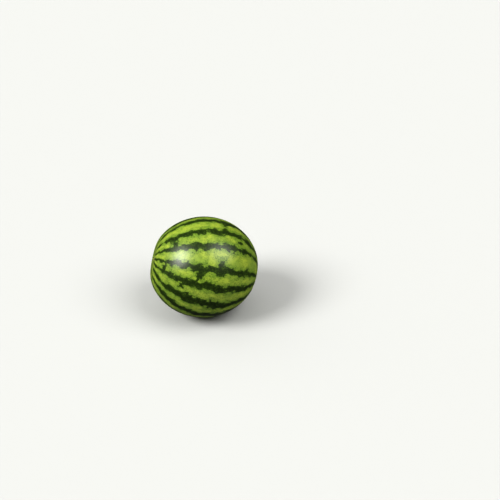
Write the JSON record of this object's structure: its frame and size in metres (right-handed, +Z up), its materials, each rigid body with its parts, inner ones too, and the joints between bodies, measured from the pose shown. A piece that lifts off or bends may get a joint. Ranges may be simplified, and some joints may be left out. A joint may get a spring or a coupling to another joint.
{
  "type": "watermelon",
  "caption": "Whole round watermelon with a light and dark green striped rind, a shallow dip with a corky scar at each end, and a small flat spot that it rests on.",
  "frame": {"origin": "middle of the bounding box's base, on the flat spot that the fruit rests on", "axes": "+Z up from the flat spot; +X along the fruit's length towards the stem end, which lies 14 degrees below the level; the blossom end is towards -X and is raised by the same angle"},
  "size_m": [0.2342, 0.22, 0.2169],
  "materials": {
    "watermelon_rind": "waxy, semi-gloss"
  },
  "bodies": {
    "root": {"watermelon": "watermelon_rind"}
  },
  "joints": []
}
